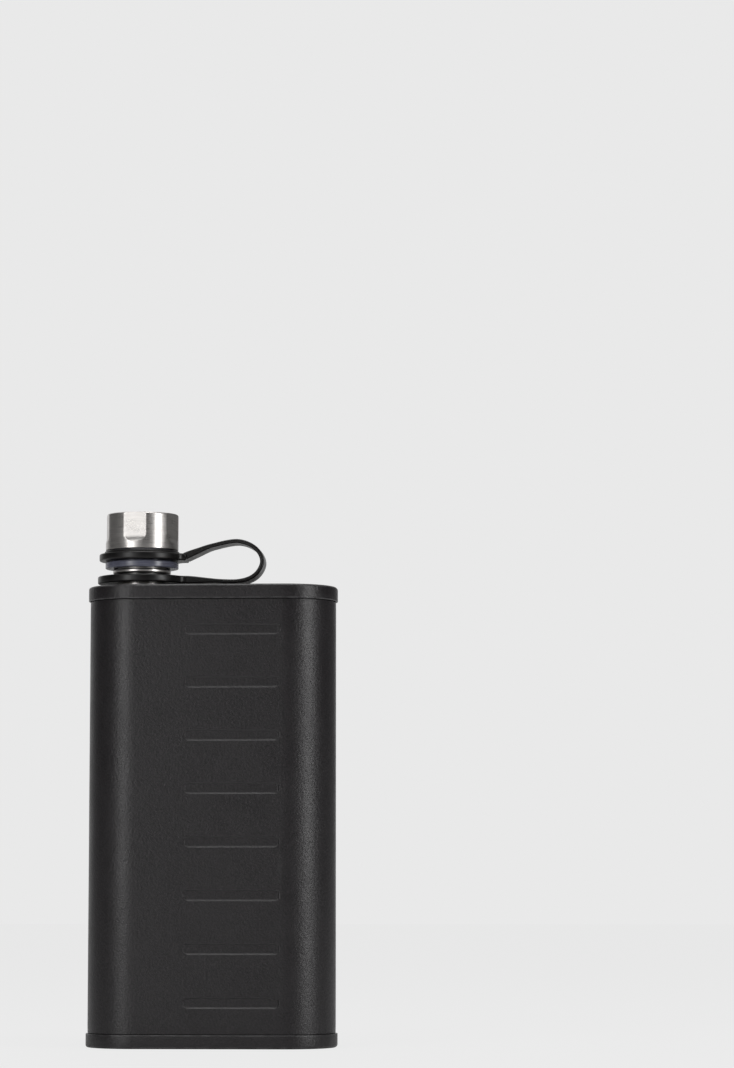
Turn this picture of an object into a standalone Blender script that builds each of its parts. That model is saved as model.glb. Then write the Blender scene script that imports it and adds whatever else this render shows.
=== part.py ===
"""Hip flask: a flat steel flask with pressed end plates, an off-centre threaded neck, a steel
screw cap with a plastic liner, and a silicone strap that ties the cap to the neck.

Metres, +Z up. The origin is the centre of the base, the wide front faces -Y, and the neck
stands on the -X side.
"""

import math

import bmesh
import bpy
from mathutils import Vector

MM = 0.001

# Flask body
BODY_WIDTH = 70.0 * MM            # across the end plates
BODY_DEPTH = 31.4 * MM            # across the end plates
BODY_HEIGHT = 128.0 * MM          # underside of the base to the top face
BODY_CORNER = 14.4 * MM           # plan radius of the end plates' corners
SIDE_FLAT = 0.5 * MM              # least half length of the straight left on a short side
SHEET = 0.6 * MM                  # sheet thickness of the tube and both plates
SKIRT_PROUD = 0.5 * MM            # how far the plates' skirts stand out from the tube
TOP_SKIRT = 4.0 * MM
BASE_SKIRT = 3.8 * MM
PLATE_EDGE = 0.8 * MM             # outer fillet between a plate's face and its skirt
BASE_RIM = 5.0 * MM               # width of the rim that the flask stands on
BASE_RECESS = 0.6 * MM            # how far the middle of the base is pressed in

# Neck, measured up from the top face
NECK_INSET = 14.7 * MM            # distance of the neck's axis from the plates' -X side
NECK_BORE_RADIUS = 5.4 * MM
NECK_WALL = 1.2 * MM
NECK_FLANGE_WIDTH = 2.4 * MM      # inside flange that carries the neck under the top plate
NECK_FLANGE = 1.0 * MM
BEAD_WIDTH = 1.55 * MM            # bead that keeps the strap on the neck
BEAD_HEIGHT = 1.15 * MM

# Screw thread, right-handed
THREAD_PITCH = 3.0 * MM
THREAD_ROOT_STEP = 0.3 * MM       # thread root beyond the neck's shank
THREAD_DEPTH = 0.8 * MM
THREAD_FOOT = 1.4 * MM            # axial width of a ridge at its root
THREAD_CREST = 0.8 * MM           # axial width of a ridge at its crest
THREAD_START = 1.5 * MM           # first ridge above the liner's lower edge
THREAD_LEAD = 1.5 * MM            # plain length under the mouth
THREAD_FADE = 0.12                # share of a turn over which a ridge rises and fades

# Cap
CAP_HEIGHT = 10.2 * MM            # steel cover
CAP_WALL = 1.3 * MM
CAP_TOP = 1.2 * MM
CAP_EDGE = 0.6 * MM
LINER_WALL = 0.65 * MM
LINER_TOP = 1.0 * MM
COLLAR_HEIGHT = 1.8 * MM
COLLAR_WIDTH = 1.65 * MM          # collar beyond the liner's wall
SEAL_THICKNESS = 0.9 * MM
SEAL_EASE = 0.6 * MM              # play between the seal and the liner's wall
FLAT_COUNT = 5
FLAT_DEPTH = 0.53 * MM
FLAT_HEIGHT = 6.2 * MM            # from the cap's top down
FLAT_TURN = math.radians(-95.5)   # direction of the first flat

# Silicone strap
STRAP_LIFT = 1.1 * MM             # clear height under the strap's neck ring
NECK_RING_THICKNESS = 2.1 * MM
NECK_RING_WIDTH = 5.5 * MM
NECK_HUB_HEIGHT = 0.5 * MM
NECK_HUB_WIDTH = 1.3 * MM
CAP_RING_THICKNESS = 2.0 * MM
CAP_RING_WIDTH = 3.05 * MM
CAP_LIP_HEIGHT = 0.8 * MM
CAP_LIP_WIDTH = 1.65 * MM
STRAP_WIDTH = 9.0 * MM
STRAP_THICKNESS = 1.15 * MM       # round the loop
STRAP_TAPER = 9.0 * MM            # length over which it thins from a ring to the loop
STRAP_TAB = 2.4 * MM              # stretch of strap that belongs to each ring

# Clearances
GAP = 0.3 * MM                    # between pieces that touch or run on each other
CUT_MARGIN = 1.0 * MM             # how far a cutter runs past what it cuts

# Smoothness
CORNER_STEPS = 8
ROUND_STEPS = 48
THREAD_STEPS = 24                 # per turn
STRAP_STEPS = 40

# Plan outlines of the plates and of the tube
NECK_X = NECK_INSET - BODY_WIDTH / 2.0
NECK_IN = SHEET + GAP             # inset of the tube's ends, which sit inside the skirts

# Radii about the neck's axis
SHANK_RADIUS = NECK_BORE_RADIUS + NECK_WALL
THREAD_ROOT = SHANK_RADIUS + THREAD_ROOT_STEP
THREAD_TIP = THREAD_ROOT + THREAD_DEPTH
BEAD_RADIUS = SHANK_RADIUS + BEAD_WIDTH
LINER_BORE = THREAD_TIP + GAP
LINER_TIP = THREAD_ROOT + GAP
LINER_RADIUS = LINER_BORE + LINER_WALL
CAP_BORE = LINER_RADIUS + GAP
CAP_RADIUS = CAP_BORE + CAP_WALL
NECK_RING_BORE = SHANK_RADIUS + GAP
NECK_RING_RADIUS = NECK_RING_BORE + NECK_RING_WIDTH
CAP_RING_BORE = LINER_RADIUS + GAP
CAP_RING_RADIUS = CAP_RING_BORE + CAP_RING_WIDTH

# Heights of the stack on the neck, from the top face up to the cap
NECK_RING_BASE = BODY_HEIGHT + STRAP_LIFT
NECK_RING_TOP = NECK_RING_BASE + NECK_RING_THICKNESS
BEAD_BASE = NECK_RING_TOP + NECK_HUB_HEIGHT + GAP
BEAD_TOP = BEAD_BASE + BEAD_HEIGHT
LINER_BASE = BEAD_TOP + GAP
COLLAR_TOP = LINER_BASE + COLLAR_HEIGHT
CAP_RING_BASE = COLLAR_TOP + GAP
CAP_RING_TOP = CAP_RING_BASE + CAP_RING_THICKNESS
CAP_BASE = CAP_RING_TOP + CAP_LIP_HEIGHT + GAP
CAP_CROWN = CAP_BASE + CAP_HEIGHT
LINER_CROWN = CAP_CROWN - CAP_TOP - GAP
SEAL_TOP = LINER_CROWN - LINER_TOP - GAP
MOUTH = SEAL_TOP - SEAL_THICKNESS - GAP
THREAD_BASE = LINER_BASE + THREAD_START
THREAD_TURNS = (MOUTH - THREAD_LEAD - THREAD_BASE) / THREAD_PITCH


def clear_scene():
    """Remove whatever the scene holds."""
    for item in list(bpy.data.objects):
        bpy.data.objects.remove(item, do_unlink=True)


def make_material(name, colour, roughness, metallic):
    """A Principled material of one plain colour."""
    material = bpy.data.materials.new(name)
    material.use_nodes = True
    shader = material.node_tree.nodes["Principled BSDF"]
    shader.inputs["Base Color"].default_value = (*colour, 1.0)
    shader.inputs["Roughness"].default_value = roughness
    shader.inputs["Metallic"].default_value = metallic
    return material


def coat_finish(name):
    return make_material(name, (0.027, 0.026, 0.027), 0.55, 0.0)


def steel_finish(name):
    return make_material(name, (0.55, 0.54, 0.53), 0.3, 1.0)


def silicone_finish(name):
    return make_material(name, (0.034, 0.033, 0.034), 0.6, 0.0)


def plastic_finish(name):
    return make_material(name, (0.07, 0.073, 0.09), 0.3, 0.0)


def seal_finish(name):
    return make_material(name, (0.6, 0.6, 0.58), 0.6, 0.0)


def add_object(name, shape, material, centre=(0.0, 0.0, 0.0)):
    """Turn a bmesh into a named object, faces out and rounded faces smooth."""
    bmesh.ops.recalc_face_normals(shape, faces=shape.faces)
    mesh = bpy.data.meshes.new(name)
    shape.to_mesh(mesh)
    shape.free()
    mesh.shade_smooth()
    mesh.set_sharp_from_angle(angle=math.radians(35.0))
    mesh.materials.append(material)
    piece = bpy.data.objects.new(name, mesh)
    piece.location = centre
    bpy.context.scene.collection.objects.link(piece)
    return piece


def add_tool(name, shape, centre=(0.0, 0.0, 0.0)):
    """A shape that only cuts or joins another piece."""
    tool = add_object(name, shape, coat_finish(name), centre)
    tool.hide_render = True
    tool.display_type = "WIRE"
    return tool


def combine(piece, tool, operation):
    """Cut or join a piece with a tool."""
    step = piece.modifiers.new(tool.name, "BOOLEAN")
    step.operation = operation
    step.object = tool
    step.solver = "EXACT"


def skin_rings(shape, rings, closed):
    """Join rings of vertices into a wall; the ends are capped unless the rings close on themselves."""
    pairs = list(zip(rings, rings[1:]))
    if closed:
        pairs.append((rings[-1], rings[0]))
    for lower, upper in pairs:
        count = max(len(lower), len(upper))
        for i in range(count):
            j = (i + 1) % count
            corners = [lower[i % len(lower)], lower[j % len(lower)],
                       upper[j % len(upper)], upper[i % len(upper)]]
            unique = list(dict.fromkeys(corners))
            shape.faces.new(unique)
    if not closed:
        for end in (rings[0], rings[-1]):
            if len(end) > 2:
                shape.faces.new(end)


def turn_profile(profile, closed=True):
    """Turn a profile of (radius, height) points about the Z axis."""
    shape = bmesh.new()
    rings = []
    for radius, height in profile:
        if radius == 0.0:
            rings.append([shape.verts.new((0.0, 0.0, height))])
            continue
        ring = []
        for i in range(ROUND_STEPS):
            angle = 2.0 * math.pi * i / ROUND_STEPS
            ring.append(shape.verts.new((radius * math.cos(angle), radius * math.sin(angle), height)))
        rings.append(ring)
    skin_rings(shape, rings, closed)
    return shape


def plan_outline(inset):
    """Rounded-rectangle outline of the plates, moved in by the inset."""
    half_x = BODY_WIDTH / 2.0 - inset
    half_y = BODY_DEPTH / 2.0 - inset
    radius = min(BODY_CORNER, BODY_DEPTH / 2.0 - SIDE_FLAT) - inset
    points = []
    for quarter, (side_x, side_y) in enumerate(((1, 1), (-1, 1), (-1, -1), (1, -1))):
        middle = Vector((side_x * (half_x - radius), side_y * (half_y - radius)))
        for step in range(CORNER_STEPS + 1):
            angle = math.radians(90.0) * (quarter + step / CORNER_STEPS)
            points.append(middle + radius * Vector((math.cos(angle), math.sin(angle))))
    return points


def raise_outline(profile, closed):
    """Build a wall from (inset, height) points that all follow the body's plan outline."""
    shape = bmesh.new()
    rings = []
    for inset, height in profile:
        rings.append([shape.verts.new((p.x, p.y, height)) for p in plan_outline(inset)])
    skin_rings(shape, rings, closed)
    return shape


def edge_arc(inset, height, radius, start, end, steps=4):
    """Points of a small fillet in a profile, about the centre (inset, height)."""
    points = []
    for step in range(steps + 1):
        angle = math.radians(start + (end - start) * step / steps)
        points.append((inset + radius * math.cos(angle), height + radius * math.sin(angle)))
    return points


def make_body_shell():
    """Tube of folded sheet whose ends are drawn in to fit inside the plates' skirts."""
    low = SHEET + GAP
    high = BODY_HEIGHT - SHEET - GAP
    low_step = BASE_SKIRT + GAP
    high_step = BODY_HEIGHT - TOP_SKIRT - GAP
    draw = NECK_IN - SKIRT_PROUD
    outside = [(NECK_IN, low), (NECK_IN, low_step - draw / 2.0), (SKIRT_PROUD, low_step + draw / 2.0),
               (SKIRT_PROUD, high_step - draw / 2.0), (NECK_IN, high_step + draw / 2.0), (NECK_IN, high)]
    inside = [(inset + SHEET, height) for inset, height in reversed(outside)]
    shape = raise_outline(outside + inside, closed=True)
    return add_object("body_shell", shape, coat_finish("body_coat"))


def make_top_plate():
    """Pressed tray over the tube's upper end, with the hole for the neck."""
    top = BODY_HEIGHT
    edge = edge_arc(PLATE_EDGE, top - PLATE_EDGE, PLATE_EDGE, 90.0, 180.0)
    under = top - SHEET
    profile = edge + [(0.0, top - TOP_SKIRT), (SHEET, top - TOP_SKIRT), (SHEET, under)]
    plate = add_object("top_plate", raise_outline(profile, closed=False), coat_finish("top_coat"))
    hole = [(0.0, under - CUT_MARGIN), (NECK_RING_BORE, under - CUT_MARGIN),
            (NECK_RING_BORE, top + CUT_MARGIN), (0.0, top + CUT_MARGIN)]
    combine(plate, add_tool("neck_hole_cutter", turn_profile(hole, closed=False), (NECK_X, 0.0, 0.0)),
            "DIFFERENCE")
    return plate


def make_base_plate():
    """Pressed tray over the tube's lower end, recessed inside the rim that it stands on."""
    edge = edge_arc(PLATE_EDGE, PLATE_EDGE, PLATE_EDGE, 270.0, 180.0)
    step = BASE_RIM + BASE_RECESS
    profile = [(step, BASE_RECESS), (BASE_RIM, 0.0)] + edge
    profile += [(0.0, BASE_SKIRT), (SHEET, BASE_SKIRT), (SHEET, SHEET)]
    profile += [(BASE_RIM, SHEET), (step, SHEET + BASE_RECESS)]
    return add_object("base_plate", raise_outline(profile, closed=False), coat_finish("base_coat"))


def thread_ridge(foot, tip, shift, turns):
    """Helical ridge between two radii; its root is sunk a little into the wall that carries it."""
    shape = bmesh.new()
    rings = []
    sink = math.copysign(THREAD_ROOT_STEP / 2.0, foot - tip)
    steps = round(turns * THREAD_STEPS)
    for step in range(steps + 1):
        turn = turns * step / steps
        fade = min(1.0, (turn / THREAD_FADE) * 0.9 + 0.1, ((turns - turn) / THREAD_FADE) * 0.9 + 0.1)
        angle = 2.0 * math.pi * turn
        middle = THREAD_BASE + shift + THREAD_PITCH * turn
        crest = foot + (tip - foot) * fade
        ring = []
        for radius, offset in ((foot + sink, -THREAD_FOOT / 2.0), (foot + sink, THREAD_FOOT / 2.0),
                               (crest, THREAD_CREST / 2.0), (crest, -THREAD_CREST / 2.0)):
            ring.append(shape.verts.new((radius * math.cos(angle), radius * math.sin(angle),
                                         middle + offset)))
        rings.append(ring)
    skin_rings(shape, rings, closed=False)
    return shape


def make_neck_spout():
    """Turned spout: inside flange, shank, strap bead and threaded mouth."""
    under = BODY_HEIGHT - SHEET - GAP
    flange_low = under - NECK_FLANGE
    lip = NECK_WALL / 4.0
    profile = [(NECK_BORE_RADIUS, flange_low), (SHANK_RADIUS + NECK_FLANGE_WIDTH, flange_low),
               (SHANK_RADIUS + NECK_FLANGE_WIDTH, under), (SHANK_RADIUS, under),
               (SHANK_RADIUS, BEAD_BASE), (BEAD_RADIUS - lip, BEAD_BASE),
               (BEAD_RADIUS, BEAD_BASE + BEAD_HEIGHT / 3.0), (BEAD_RADIUS, BEAD_TOP - BEAD_HEIGHT / 3.0),
               (BEAD_RADIUS - lip, BEAD_TOP), (THREAD_ROOT, BEAD_TOP),
               (THREAD_ROOT, MOUTH - lip), (THREAD_ROOT - lip, MOUTH),
               (NECK_BORE_RADIUS + lip, MOUTH), (NECK_BORE_RADIUS, MOUTH - lip)]
    neck = add_object("neck_spout", turn_profile(profile), steel_finish("neck_steel"),
                      (NECK_X, 0.0, 0.0))
    ridge = thread_ridge(THREAD_ROOT, THREAD_TIP, 0.0, THREAD_TURNS)
    combine(neck, add_tool("neck_thread", ridge, (NECK_X, 0.0, 0.0)), "UNION")
    return neck


def make_cap_liner():
    """Plastic cup inside the cap, with the collar under the strap ring and the inner thread."""
    collar = LINER_RADIUS + COLLAR_WIDTH
    ease = COLLAR_HEIGHT / 6.0
    profile = [(0.0, LINER_CROWN), (LINER_RADIUS - ease, LINER_CROWN), (LINER_RADIUS, LINER_CROWN - ease),
               (LINER_RADIUS, COLLAR_TOP), (collar - ease, COLLAR_TOP), (collar, COLLAR_TOP - ease),
               (collar, LINER_BASE + ease), (collar - ease, LINER_BASE), (LINER_BORE, LINER_BASE),
               (LINER_BORE, LINER_CROWN - LINER_TOP), (0.0, LINER_CROWN - LINER_TOP)]
    liner = add_object("cap_liner", turn_profile(profile, closed=False), plastic_finish("collar_plastic"),
                       (NECK_X, 0.0, 0.0))
    ridge = thread_ridge(LINER_BORE, LINER_TIP, THREAD_PITCH / 2.0, THREAD_TURNS - 0.5)
    combine(liner, add_tool("liner_thread", ridge, (NECK_X, 0.0, 0.0)), "UNION")
    return liner


def make_cap_seal():
    """Silicone disc between the liner and the mouth."""
    radius = LINER_BORE - SEAL_EASE
    low = SEAL_TOP - SEAL_THICKNESS
    profile = [(0.0, SEAL_TOP), (radius, SEAL_TOP), (radius, low), (0.0, low)]
    return add_object("cap_seal", turn_profile(profile, closed=False), seal_finish("seal_silicone"),
                      (NECK_X, 0.0, 0.0))


def flat_cutter():
    """One block that mills a grip flat into the cap from the top down."""
    inner = CAP_RADIUS - FLAT_DEPTH
    outer = CAP_RADIUS + CUT_MARGIN
    low = CAP_CROWN - FLAT_HEIGHT
    high = CAP_CROWN + CUT_MARGIN
    shape = bmesh.new()
    bmesh.ops.create_cube(shape, size=1.0)
    for corner in shape.verts:
        corner.co = Vector((inner + (outer - inner) * (corner.co.x + 0.5), 2.0 * CAP_RADIUS * corner.co.y,
                            low + (high - low) * (corner.co.z + 0.5)))
    return shape


def make_cap_shell():
    """Steel cup over the liner, with the milled grip flats."""
    edge = [(CAP_CROWN - CAP_EDGE + CAP_EDGE * math.sin(a), CAP_RADIUS - CAP_EDGE + CAP_EDGE * math.cos(a))
            for a in (math.radians(90.0), math.radians(60.0), math.radians(30.0), 0.0)]
    profile = [(0.0, CAP_CROWN)] + [(radius, height) for height, radius in edge]
    profile += [(CAP_RADIUS, CAP_BASE), (CAP_BORE, CAP_BASE), (CAP_BORE, CAP_CROWN - CAP_TOP),
                (0.0, CAP_CROWN - CAP_TOP)]
    cap = add_object("cap_shell", turn_profile(profile, closed=False), steel_finish("cap_steel"),
                     (NECK_X, 0.0, 0.0))
    for index in range(FLAT_COUNT):
        cutter = add_tool(f"flat_cutter_{index + 1}", flat_cutter(), (NECK_X, 0.0, 0.0))
        cutter.rotation_euler.z = FLAT_TURN + 2.0 * math.pi * index / FLAT_COUNT
        combine(cap, cutter, "DIFFERENCE")
    return cap


def strap_route():
    """Centre line of the strap in the XZ plane, from inside the cap ring to inside the neck ring."""
    cap_edge = NECK_X + CAP_RING_RADIUS
    neck_edge = NECK_X + NECK_RING_RADIUS
    cap_middle = CAP_RING_BASE + CAP_RING_THICKNESS / 2.0
    neck_middle = NECK_RING_BASE + NECK_RING_THICKNESS / 2.0
    upper = ((-1.6, 0.0), (1.2, 0.3), (4.2, 1.6), (8.4, 3.1), (15.4, 4.1), (20.4, 2.2), (22.3, -1.4))
    lower = ((19.8, 1.2), (15.0, -0.5), (6.6, -0.25), (1.2, -0.05), (-2.4, 0.0))
    points = [Vector((cap_edge + x * MM, 0.0, cap_middle + z * MM)) for x, z in upper]
    points += [Vector((neck_edge + x * MM, 0.0, neck_middle + z * MM)) for x, z in lower]
    return points


def smooth_route(points, steps):
    """Evenly spaced places along a smooth curve through the points."""
    ends = [2.0 * points[0] - points[1]] + points + [2.0 * points[-1] - points[-2]]
    fine = []
    for before, start, end, after in zip(ends, ends[1:], ends[2:], ends[3:]):
        for step in range(steps):
            t = step / steps
            fine.append(0.5 * (2.0 * start + (end - before) * t
                               + (2.0 * before - 5.0 * start + 4.0 * end - after) * t ** 2
                               + (3.0 * start - before - 3.0 * end + after) * t ** 3))
    return fine + [points[-1]]


def route_lengths(places):
    """Distance along the route at each place."""
    lengths = [0.0]
    for start, end in zip(places, places[1:]):
        lengths.append(lengths[-1] + (end - start).length)
    return lengths


def place_at(places, lengths, distance):
    """Place and direction of the route at a distance along it."""
    for index in range(1, len(places)):
        if lengths[index] >= distance or index == len(places) - 1:
            share = (distance - lengths[index - 1]) / (lengths[index] - lengths[index - 1])
            direction = (places[index] - places[index - 1]).normalized()
            return places[index - 1].lerp(places[index], share), direction


def strap_half_thickness(distance, total):
    """Half the strap's thickness, which falls from each ring to the loop."""
    reach = min(distance, total - distance) / STRAP_TAPER
    ease = max(0.0, 1.0 - reach)
    ring = CAP_RING_THICKNESS if distance < total / 2.0 else NECK_RING_THICKNESS
    return (STRAP_THICKNESS + (ring - STRAP_THICKNESS) * ease * ease * (3.0 - 2.0 * ease)) / 2.0


def strap_stretch(first, last, steps):
    """The strap between two shares of its length, as a closed body with eased edges."""
    places = smooth_route(strap_route(), 12)
    lengths = route_lengths(places)
    total = lengths[-1]
    shape = bmesh.new()
    rings = []
    for step in range(steps + 1):
        distance = first(total) + (last(total) - first(total)) * step / steps
        place, direction = place_at(places, lengths, distance)
        rise = Vector((-direction.z, 0.0, direction.x))
        half = strap_half_thickness(distance, total)
        side = STRAP_WIDTH / 2.0
        ease = STRAP_THICKNESS / 4.0
        corners = ((side, half - ease), (side - ease, half), (ease - side, half), (-side, half - ease),
                   (-side, ease - half), (ease - side, -half), (side - ease, -half), (side, ease - half))
        rings.append([shape.verts.new(place + Vector((0.0, y, 0.0)) + rise * z) for y, z in corners])
    skin_rings(shape, rings, closed=False)
    return shape


def cap_tab_end(total):
    return -strap_route()[0].x + NECK_X + CAP_RING_RADIUS + STRAP_TAB


def neck_tab_end(total):
    return total - (-strap_route()[-1].x + NECK_X + NECK_RING_RADIUS + STRAP_TAB)


def make_strap_band():
    """The free loop of the strap between the two rings' tabs."""
    shape = strap_stretch(lambda total: cap_tab_end(total) + GAP, lambda total: neck_tab_end(total) - GAP,
                          STRAP_STEPS)
    return add_object("strap_band", shape, silicone_finish("band_silicone"))


def make_neck_ring():
    """Strap ring that turns on the neck, with a raised hub under the bead and its tab."""
    hub = NECK_RING_BORE + NECK_HUB_WIDTH
    ease = NECK_RING_THICKNESS / 5.0
    profile = [(NECK_RING_BORE, NECK_RING_BASE), (NECK_RING_RADIUS - ease, NECK_RING_BASE),
               (NECK_RING_RADIUS, NECK_RING_BASE + ease), (NECK_RING_RADIUS, NECK_RING_TOP - ease),
               (NECK_RING_RADIUS - ease, NECK_RING_TOP), (hub, NECK_RING_TOP),
               (hub, NECK_RING_TOP + NECK_HUB_HEIGHT), (NECK_RING_BORE, NECK_RING_TOP + NECK_HUB_HEIGHT)]
    ring = add_object("strap_neck_ring", turn_profile(profile), silicone_finish("neck_ring_silicone"),
                      (NECK_X, 0.0, 0.0))
    tab = strap_stretch(neck_tab_end, lambda total: total, 6)
    combine(ring, add_tool("neck_ring_tab", tab), "UNION")
    return ring


def make_cap_ring():
    """Strap ring held between the liner's collar and the steel cover, with its tab."""
    lip = CAP_RING_BORE + CAP_LIP_WIDTH
    lip_top = CAP_RING_TOP + CAP_LIP_HEIGHT
    ease = CAP_RING_THICKNESS / 5.0
    profile = [(CAP_RING_BORE, CAP_RING_BASE), (CAP_RING_RADIUS - ease, CAP_RING_BASE),
               (CAP_RING_RADIUS, CAP_RING_BASE + ease), (CAP_RING_RADIUS, CAP_RING_TOP - ease),
               (CAP_RING_RADIUS - ease, CAP_RING_TOP), (lip, CAP_RING_TOP), (lip, lip_top),
               (CAP_RING_BORE, lip_top)]
    ring = add_object("strap_cap_ring", turn_profile(profile), silicone_finish("cap_ring_silicone"),
                      (NECK_X, 0.0, 0.0))
    tab = strap_stretch(lambda total: 0.0, cap_tab_end, 6)
    combine(ring, add_tool("cap_ring_tab", tab), "UNION")
    return ring


def main():
    clear_scene()
    make_body_shell()
    make_top_plate()
    make_base_plate()
    make_neck_spout()
    make_cap_liner()
    make_cap_seal()
    make_cap_shell()
    make_neck_ring()
    make_strap_band()
    make_cap_ring()


main()
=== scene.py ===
"""Looks of the hip flask: coated steel body, brushed screw cap, turned neck and silicone strap."""

import math

import bpy
from bpy.props import FloatProperty, FloatVectorProperty, IntProperty, PointerProperty
from bpy.types import Operator, Panel, PropertyGroup
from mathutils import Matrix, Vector


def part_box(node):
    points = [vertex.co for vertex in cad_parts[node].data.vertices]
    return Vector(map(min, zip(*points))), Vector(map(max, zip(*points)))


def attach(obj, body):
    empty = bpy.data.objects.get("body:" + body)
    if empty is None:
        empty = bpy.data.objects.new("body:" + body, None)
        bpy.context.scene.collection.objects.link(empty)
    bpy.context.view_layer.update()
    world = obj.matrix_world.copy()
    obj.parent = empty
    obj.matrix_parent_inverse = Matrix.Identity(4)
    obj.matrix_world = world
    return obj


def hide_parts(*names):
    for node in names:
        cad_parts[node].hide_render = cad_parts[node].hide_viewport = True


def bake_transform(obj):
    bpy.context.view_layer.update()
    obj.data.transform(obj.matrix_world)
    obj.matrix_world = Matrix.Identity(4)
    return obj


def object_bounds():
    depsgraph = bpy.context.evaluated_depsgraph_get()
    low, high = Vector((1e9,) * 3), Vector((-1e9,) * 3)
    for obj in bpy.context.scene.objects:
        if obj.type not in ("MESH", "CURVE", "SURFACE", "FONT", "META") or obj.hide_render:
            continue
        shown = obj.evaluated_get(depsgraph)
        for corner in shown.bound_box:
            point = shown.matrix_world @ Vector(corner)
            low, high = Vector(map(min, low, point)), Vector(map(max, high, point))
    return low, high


bl_info = {
    "name": "Hip Flask Looks",
    "version": (1, 0, 0),
    "blender": (4, 5, 0),
    "location": "View3D > Sidebar > Flask",
    "description": "Builds the visible surfaces of a hip flask around its fixed frame",
    "category": "Object",
}

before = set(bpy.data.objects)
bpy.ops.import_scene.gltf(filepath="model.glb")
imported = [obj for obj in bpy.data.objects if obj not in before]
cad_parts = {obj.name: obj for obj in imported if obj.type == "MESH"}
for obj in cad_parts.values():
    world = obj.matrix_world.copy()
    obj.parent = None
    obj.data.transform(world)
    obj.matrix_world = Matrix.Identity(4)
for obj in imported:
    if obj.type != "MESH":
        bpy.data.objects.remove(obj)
FRAME_LOW, FRAME_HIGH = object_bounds()

MM = 0.001
NODE_BOXES = {node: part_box(node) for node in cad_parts}
NECK_X = sum(corner[0] for corner in NODE_BOXES["cap_shell"]) / 2.0
TURN = 2.0 * math.pi


def low(node):
    return Vector(NODE_BOXES[node][0])


def high(node):
    return Vector(NODE_BOXES[node][1])


def reach(node):
    """Radius of a round node about the neck's axis, measured away from the strap."""
    return NECK_X - low(node).x


# ---------------------------------------------------------------- settings


class FlaskSizes(PropertyGroup):
    """Sizes of the details that the frame leaves plain."""

    corner: FloatProperty(name="Corner radius", description="Plan radius of the end plates' corners",
                          default=14.4 * MM, unit="LENGTH")
    sheet: FloatProperty(name="Sheet", description="Wall of the tube and the plates",
                         default=0.6 * MM, unit="LENGTH")
    plate_fillet: FloatProperty(name="Plate fillet", description="Fillet between a plate's face and skirt",
                                default=0.7 * MM, unit="LENGTH")
    skirt_fillet: FloatProperty(name="Skirt fillet", description="Rolled free edge of each skirt",
                                default=0.24 * MM, unit="LENGTH")
    rim: FloatProperty(name="Base rim", description="Width of the rim that the flask stands on",
                       default=5.0 * MM, unit="LENGTH")
    recess: FloatProperty(name="Base recess", description="Depth of the base's pressed panel",
                          default=0.6 * MM, unit="LENGTH")
    groove_count: IntProperty(name="Grip grooves", description="Pressed grooves down the front", default=8)
    groove_length: FloatProperty(name="Groove length", description="Length across the front",
                                 default=27.0 * MM, unit="LENGTH")
    groove_width: FloatProperty(name="Groove width", description="Height of one groove",
                                default=3.1 * MM, unit="LENGTH")
    groove_depth: FloatProperty(name="Groove depth", description="How far a groove is pressed in",
                                default=0.45 * MM, unit="LENGTH")
    pitch: FloatProperty(name="Thread pitch", description="Rise of the thread in one turn",
                         default=3.0 * MM, unit="LENGTH")
    thread: FloatProperty(name="Thread depth", description="Height of the thread's ridge",
                          default=0.8 * MM, unit="LENGTH")
    flat_count: IntProperty(name="Cap flats", description="Milled grip flats round the cap", default=5)
    flat_depth: FloatProperty(name="Flat depth", description="How deep each flat is milled",
                              default=0.53 * MM, unit="LENGTH")
    strap_width: FloatProperty(name="Strap width", description="Width of the strap's band",
                               default=9.0 * MM, unit="LENGTH")
    strap_thickness: FloatProperty(name="Strap thickness", description="Thickness round the strap's loop",
                                   default=1.15 * MM, unit="LENGTH")


def colour_property(name, description, value):
    return FloatVectorProperty(name=name, description=description, subtype="COLOR", size=3,
                               min=0.0, max=1.0, default=value)


class FlaskColours(PropertyGroup):
    """Colours of the finishes and of the studio."""

    coat: colour_property("Coat", "Powder coat", (0.0058, 0.0043, 0.0053))
    # The lighter coat colour paints highlights along the skirts' edges and the grooves' walls, and colours
    # real scuffs.
    coat_rub_and_sheen: colour_property("Coat rub and sheen", "Lighter coat: painted highlights on the skirts and grooves, and scuffs", (0.05, 0.049, 0.05))
    steel: colour_property("Steel", "Brushed and turned steel", (0.62, 0.6, 0.58))
    silicone: colour_property("Silicone", "Strap", (0.0045, 0.004, 0.004))
    collar: colour_property("Collar", "Cap liner", (0.095, 0.099, 0.135))
    seal: colour_property("Seal", "Sealing disc", (0.6, 0.6, 0.57))
    studio: colour_property("Studio", "Floor and backdrop", (0.815, 0.815, 0.815))


# ---------------------------------------------------------------- shader maths


class Signal:
    """A shader value that Python's operators turn into Math nodes."""

    def __init__(self, finish, socket):
        self.finish = finish
        self.socket = socket

    def maths(self, operation, first, second):
        return self.finish.add("ShaderNodeMath", {"operation": operation}, {0: first, 1: second})

    def __add__(self, other):
        return self.maths("ADD", self, other)

    def __radd__(self, other):
        return self.maths("ADD", other, self)

    def __sub__(self, other):
        return self.maths("SUBTRACT", self, other)

    def __rsub__(self, other):
        return self.maths("SUBTRACT", other, self)

    def __mul__(self, other):
        return self.maths("MULTIPLY", self, other)

    def __rmul__(self, other):
        return self.maths("MULTIPLY", other, self)

    def __pow__(self, other):
        return self.maths("POWER", self, other)


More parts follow.
